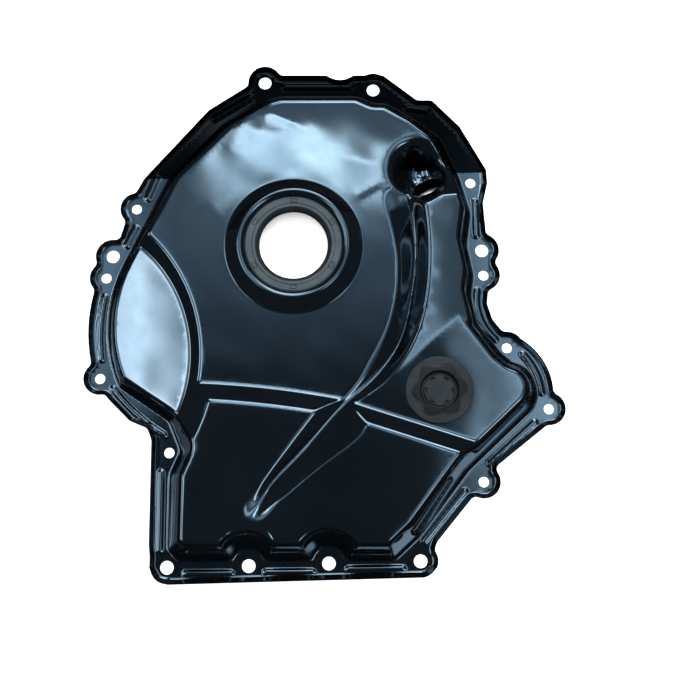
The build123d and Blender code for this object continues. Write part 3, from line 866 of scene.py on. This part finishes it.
def padRing(name, material, centre, radius, count, turn, size, foot, bevel=0.0, smooth=True):
    # a ring of small raised pads with sloping edges, all turned to face the middle
    points, faces = [], []
    width, depth, height = size
    for k in range(count):
        start, angle = len(points), turn + 2 * pi * k / count
        along, across = np.array((cos(angle), sin(angle))), np.array((-sin(angle), cos(angle)))
        middle = np.array(centre) + radius * along
        for grow, z in ((bevel, foot - padRoot), (bevel, foot), (0.0, foot + height)):
            for a, b in ((-1, -1), (-1, 1), (1, 1), (1, -1)):
                p = middle + along * a * (depth / 2 + grow) + across * b * (width / 2 + grow)
                points.append(rowPoint(p[0], p[1], z))
        faces += [tuple(start + v for v in face) for face in ((8, 9, 10, 11), (3, 2, 1, 0))]
        faces += band(start, start + 4, 4) + band(start + 4, start + 8, 4)
    return newPiece(name, points, faces, material, smooth)


def outwardNormals(piece):
    mesh = bmesh.new()
    mesh.from_mesh(piece.data)
    bmesh.ops.remove_doubles(mesh, verts=mesh.verts, dist=pointWeld)
    bmesh.ops.recalc_face_normals(mesh, faces=mesh.faces)
    mesh.to_mesh(piece.data)
    mesh.free()
    piece.data.set_sharp_from_angle(angle=radians(sharpAngle))


def carve(piece, cutter):
    # the cutter's shape taken out of the piece
    outwardNormals(cutter)
    cut = piece.modifiers.new("carve", "BOOLEAN")
    cut.operation = "DIFFERENCE"
    cut.solver = "EXACT"
    cut.object = cutter
    applyModifiers(piece)
    bpy.data.objects.remove(cutter)
    piece.data.set_sharp_from_angle(angle=radians(sharpAngle))


def join(piece, extra):
    outwardNormals(extra)
    whole = bmesh.new()
    whole.from_mesh(piece.data)
    whole.from_mesh(extra.data)
    whole.to_mesh(piece.data)
    whole.free()
    bpy.data.objects.remove(extra)
    piece.data.set_sharp_from_angle(angle=radians(sharpAngle))


def sealPiece():
    facts = sealFacts
    ring, level = springFacts["ring"], springFacts["level"]
    reach = springFacts["coil"] + springFacts["wire"]
    turns = np.linspace(-facts["seatSpread"], pi + facts["seatSpread"], facts["seatPoints"])
    seat = [(ring - reach * sin(t), level - reach * cos(t), 0) for t in turns]
    points, faces = turned(roundedProfile(facts["face"] + seat + facts["back"]), facts["steps"])
    piece = newPiece("shaftSeal", points, faces, sealRubber)
    outwardNormals(piece)
    width, depth = facts["markSize"]
    gap, pit = 2 * facts["pitGap"], facts["pitDepth"]
    around = ((0.0, 0.0), facts["markRadius"], facts["marks"], radians(facts["markTurn"]))
    floor = facts["top"] - pit
    size = (width + gap, depth + gap, pit + facts["pitOver"])
    carve(piece, padRing("markPits", sealRubber, *around, size, floor + padRoot, smooth=False))
    size = (width, depth, pit + facts["markRise"])
    join(piece, padRing("sealMarks", sealRubber, *around, size, floor, facts["markBevel"]))
    return piece


def springPiece():
    # a closed coil spring: fine wire wound round a ring
    ring, coil, wire, level = [springFacts[name] for name in ("ring", "coil", "wire", "level")]
    perCoil, sides = springFacts["perCoil"], springFacts["sides"]
    total = springFacts["coils"] * perCoil
    centres = []
    for k in range(total):
        turn, roll = 2 * pi * k / total, 2 * pi * k / perCoil
        r = ring + coil * cos(roll)
        centres.append((r * cos(turn), r * sin(turn), level + coil * sin(roll)))
    centres = np.array(centres)
    along = np.roll(centres, -1, axis=0) - np.roll(centres, 1, axis=0)
    along /= np.linalg.norm(along, axis=1)[:, None]
    turns = 2 * pi * np.arange(total) / total
    side = centres - np.stack([ring * np.cos(turns), ring * np.sin(turns), np.full(total, level)], axis=1)
    side /= np.linalg.norm(side, axis=1)[:, None]
    points, faces = [], []
    angles = np.arange(sides) * 2 * pi / sides
    for k, (c, u, v) in enumerate(zip(centres, side, np.cross(along, side))):
        points += [rowPoint(*(c + wire * (u * cos(t) + v * sin(t)))) for t in angles]
        faces += band(k * sides, (k + 1) % total * sides, sides)
    piece = newPiece("springCoil", points, faces, springSteel)
    outwardNormals(piece)
    return piece


seal = sealPiece()
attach(seal, "root")
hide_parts("seal_body")
coil = springPiece()
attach(coil, "root")
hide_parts("garter_spring")

print("stage: plug")
plugFacts = {
    # radius, height over the panel and bend of each corner: floor, wall, ring's groove, flange and recess
    "outline": [(0.02, -3.0, 0), (14.6, -3.0, 0.6), (14.6, 0.0, 0.5), (16.6, 0.0, 0.5), (16.6, -7.5, 0.4),
                (18.8, -7.5, 0.5), (18.8, 0.0, 0.2), (20.0, 0.0, 0), (20.0, 1.0, 0.1), (21.6, 1.0, 0.1),
                (21.6, 0.0, 0), (22.8, 0.0, 0.2), (22.8, 2.25, 0.8), (12.8, 2.6, 0.7), (12.3, -1.0, 0.5),
                (10.7, -1.0, 0.2), (10.5, 0.2, 0.4), (0.02, 0.2, 0)],
    "steps": 144,
    "slots": 6, "slotRadius": 9.0, "slotSize": (3.6, 1.6, 3.0), "slotFoot": -1.6,
    # the flange's top slopes from the recess down to its edge: the two radii and heights
    "flangeTop": ((12.4, 2.6), (22.8, 2.25)),
    # lobed step on it: number, radius and reach of the lobes, and gain and limits of their wave
    "lobes": (6, 17.4, 1.3), "lobeWave": (1.6, -0.6, 0.8),
    # radius and rise of its rings past the lobed outline, then of its round rings
    "lobedRings": [(0.0, -0.2), (0.0, 0.23), (-0.35, 0.35)],
    "roundRings": [(-4.2, 0.35), (-4.5, 0.0)],
    # hooks under the sheet: radius and height of their outline, number, degrees and steps of each
    "hook": [(17.7, -4.0), (18.8, -4.0), (19.9, -2.4), (19.9, -1.6), (17.7, -1.6)],
    "hooks": (4, 36.0, 10),
}


def lobedStep(seat):
    facts = plugFacts
    (inner, top), (outer, low) = facts["flangeTop"]
    count, radius, reach = facts["lobes"]
    gain, least, most = facts["lobeWave"]
    rings = [(*ring, reach) for ring in facts["lobedRings"]]
    rings += [(*ring, 0.0) for ring in facts["roundRings"]]
    points, faces, steps = [], [], facts["steps"]
    for k, (past, rise, wave) in enumerate(rings):
        for turn in 2 * pi * np.arange(steps) / steps:
            r = radius + past + wave * max(least, min(most, gain * cos(count * turn)))
            slope = (outer - r) / (outer - inner) * (top - low)
            points.append(turnedPoint(plugPlace, r, turn, seat + low + slope + rise))
        faces += band(k * steps, (k + 1) % len(rings) * steps, steps)
    return points, faces


def plugPiece():
    facts = plugFacts
    seat = coverFacts["plugTop"]
    outline = roundedProfile([(r, seat + z, bend) for r, z, bend in facts["outline"]])
    piece = newPiece("accessPlug", *turned(outline, facts["steps"], plugPlace), plugPlastic)
    outwardNormals(piece)
    carve(piece, padRing("slotCutter", plugPlastic, plugPlace, facts["slotRadius"], facts["slots"], 0.0,
                         facts["slotSize"], seat + facts["slotFoot"], smooth=False))
    points, faces = lobedStep(seat)
    hooks, degrees, parts = facts["hooks"]
    sides = len(facts["hook"])
    for hook in range(hooks):
        start = len(points)
        for k in range(parts + 1):
            turn = 2 * pi * hook / hooks + radians(degrees) * k / parts
            points += [turnedPoint(plugPlace, r, turn, seat + z) for r, z in facts["hook"]]
        for k in range(parts):
            faces += band(start + sides * k, start + sides * (k + 1), sides)
        final = len(points) - 1
        faces += [tuple(range(start, start + sides)), tuple(range(final, final - sides, -1))]
    join(piece, newPiece("plugTrim", points, faces, plugPlastic))
    return piece


plug = plugPiece()
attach(plug, "root")
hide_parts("plug")
for nodeName, material in (("seal_case", caseSteel), ("plug_ring", ringRubber)):
    for slot in nodes[nodeName].material_slots:
        slot.material = material

print("stage: floor and light")
lightFacts = {
    # each window over the cover, in run per unit of height: reach across the room and softness of its two
    # sides, the same up the room, how much its two ends lean, its level and its tint
    "windows": [
        ((-0.30, 0.60), (0.06, 0.10), (0.20, 0.83), (0.07, 0.06), (0.0, -2.5), 0.60, (0.72, 1.0, 1.28)),
        ((-0.096, 0.05), (0.022, 0.03), (0.290, 0.327), (0.03, 0.005), (0.0, 0.26), 7.0, (0.84, 1.0, 1.10)),
        ((-0.096, 0.05), (0.018, 0.03), (0.309, 0.327), (0.008, 0.005), (0.1, 0.26), 3.6, (1.0, 1.0, 1.0)),
        ((-0.10, 0.13), (0.04, 0.06), (0.46, 0.70), (0.03, 0.03), (0.0, 0.0), 8.0, (0.90, 1.0, 1.08)),
        ((-0.35, -0.255), (0.03, 0.025), (-0.10, 0.32), (0.06, 0.05), (0.0, 0.0), 8.6, (0.95, 1.0, 1.06)),
        # low bands that only the bends see, as thin lines
        ((-0.30, 0.60), (0.10, 0.10), (0.80, 1.45), (0.06, 0.06), (0.0, 0.0), 9.0, (0.92, 1.0, 1.06)),
        ((-1.50, -1.05), (0.06, 0.06), (-0.45, 0.50), (0.08, 0.08), (0.0, 0.0), 8.0, (0.92, 1.0, 1.06)),
        ((0.46, 0.66), (0.05, 0.05), (-0.60, -0.20), (0.06, 0.05), (0.0, 0.0), 8.0, (0.90, 1.0, 1.08)),
        # dim ones that the walls and the groove see
        ((-0.95, -0.35), (0.05, 0.04), (-0.12, 0.26), (0.06, 0.08), (0.0, 0.0), 1.7, (0.80, 1.0, 1.16)),
        ((0.10, 0.172), (0.045, 0.027), (0.0, 0.42), (0.03, 0.05), (0.0, 0.0), 3.5, (0.80, 1.0, 1.16)),
        ((0.17, 0.62), (0.04, 0.10), (-0.12, 0.36), (0.05, 0.06), (0.0, 0.0), 0.55, (0.74, 1.0, 1.24)),
        ((0.28, 0.50), (0.05, 0.05), (-0.16, 0.05), (0.05, 0.04), (0.0, 0.0), 1.1, (0.80, 1.0, 1.16)),
        ((0.46, 0.95), (0.08, 0.08), (-0.70, -0.24), (0.06, 0.08), (0.0, 0.0), 1.4, (0.82, 1.0, 1.14)),
        ((-0.30, -0.145), (0.02, 0.02), (0.10, 0.27), (0.03, 0.04), (0.0, 0.0), 1.2, (0.74, 1.0, 1.24)),
    ],
    "lowest": 0.02,             # height of the lowest direction that has its own run
    "dark": 0.07,
    "darkTint": (0.70, 1.0, 1.20),
    # for matt surfaces: an even sky and a soft key light from the upper right
    "soft": 0.80,
    "key": 5.0,
    "keyPlace": (0.42, 0.52, 0.74),
    "keyCone": (0.82, 0.97),    # cosines at the key light's border and at its full strength
}


def studioWorld():
    # a pale room for the eye and for matt surfaces, and soft windows overhead for glossy ones
    facts = lightFacts
    world = bpy.data.worlds.new("softStudio")
    bpy.context.scene.world = world
    world.use_nodes = True
    tree = world.node_tree
    tree.nodes.clear()
    direction = placeOf(tree, "Generated")
    x, y, z = axesOf(tree, direction)
    height = mathNode(tree, "MAXIMUM", z, facts["lowest"])
    across, upward = mathNode(tree, "DIVIDE", x, height), mathNode(tree, "DIVIDE", y, height)
    total = tree.nodes.new("ShaderNodeRGB").outputs[0]
    total.default_value = (*[c * facts["dark"] for c in facts["darkTint"]], 1.0)
    for sides, softSides, ends, softEnds, lean, level, tint in facts["windows"]:
        mask = None
        for k, (start, finish) in enumerate(((0.0, 1.0), (1.0, 0.0))):
            leaning = mathNode(tree, "MULTIPLY_ADD", across, lean[k], upward)
            for value, border, soft in ((across, sides[k], softSides[k]), (leaning, ends[k], softEnds[k])):
                edge = rangeNode(tree, value, border - soft, border + soft, start, finish)
                mask = edge if mask is None else mathNode(tree, "MULTIPLY", mask, edge)
        lit = vectorNode(tree, "SCALE", [c * level for c in tint], scale=mask)
        total = vectorNode(tree, "ADD", total, lit)
    glossy = tree.nodes.new("ShaderNodeLightPath").outputs["Is Glossy Ray"]
    towards = vectorNode(tree, "DOT_PRODUCT", direction, Vector(facts["keyPlace"]).normalized())
    key = rangeNode(tree, towards, *facts["keyCone"], facts["soft"], facts["soft"] + facts["key"])
    background = tree.nodes.new("ShaderNodeBackground")
    feed(tree, background.inputs["Color"], mixColour(tree, glossy, key, total))
    leave = tree.nodes.new("ShaderNodeOutputWorld")
    feed(tree, leave.inputs["Surface"], background.outputs["Background"])
    world.cycles.sampling_method = "NONE"


floorFacts = {
    "reach": 6.0, "level": -0.0002,     # in m
    "colour": (0.86, 0.86, 0.86, 1.0), "roughness": 0.9,
    "mirrored": (0.01, 0.01, 0.01, 1.0),
    # the floor is lit wherever it can see the sky, so it stays white under the open holes: samples and
    # reach of that test, and the shares of open sky between which the light comes on
    "skySamples": 16, "skyReach": 0.3, "skyShares": (0.13, 0.25),
}


def studioFloor():
    facts = floorFacts
    material = bpy.data.materials.new("paleFloor")
    material.use_nodes = True
    tree = material.node_tree
    shader = tree.nodes["Principled BSDF"]
    shader.inputs["Base Color"].default_value = facts["colour"]
    shader.inputs["Roughness"].default_value = facts["roughness"]
    shader.inputs["Specular IOR Level"].default_value = 0.0
    shader.inputs["Emission Color"].default_value = (1, 1, 1, 1)
    sky = tree.nodes.new("ShaderNodeAmbientOcclusion")
    sky.samples = facts["skySamples"]
    sky.inputs["Distance"].default_value = facts["skyReach"]
    path = tree.nodes.new("ShaderNodeLightPath")
    uncovered = rangeNode(tree, sky.outputs["AO"], *facts["skyShares"])
    lit = mathNode(tree, "MULTIPLY", uncovered, path.outputs["Is Camera Ray"])
    feed(tree, shader.inputs["Emission Strength"], lit)
    mirrored = tree.nodes.new("ShaderNodeBsdfDiffuse")
    mirrored.inputs["Color"].default_value = facts["mirrored"]
    mix = tree.nodes.new("ShaderNodeMixShader")
    mixed = (path.outputs["Is Glossy Ray"], shader.outputs[0], mirrored.outputs[0])
    for socket, value in zip(mix.inputs, mixed):
        feed(tree, socket, value)
    feed(tree, tree.nodes["Material Output"].inputs["Surface"], mix.outputs[0])
    r, z = facts["reach"], facts["level"]
    corners = [(-r, -r, z), (r, -r, z), (r, r, z), (-r, r, z)]
    floor = newPiece("studioFloor", corners, [(0, 1, 2, 3)], material, smooth=False)


studioWorld()
studioFloor()
bpy.context.scene.view_settings.view_transform = "Standard"
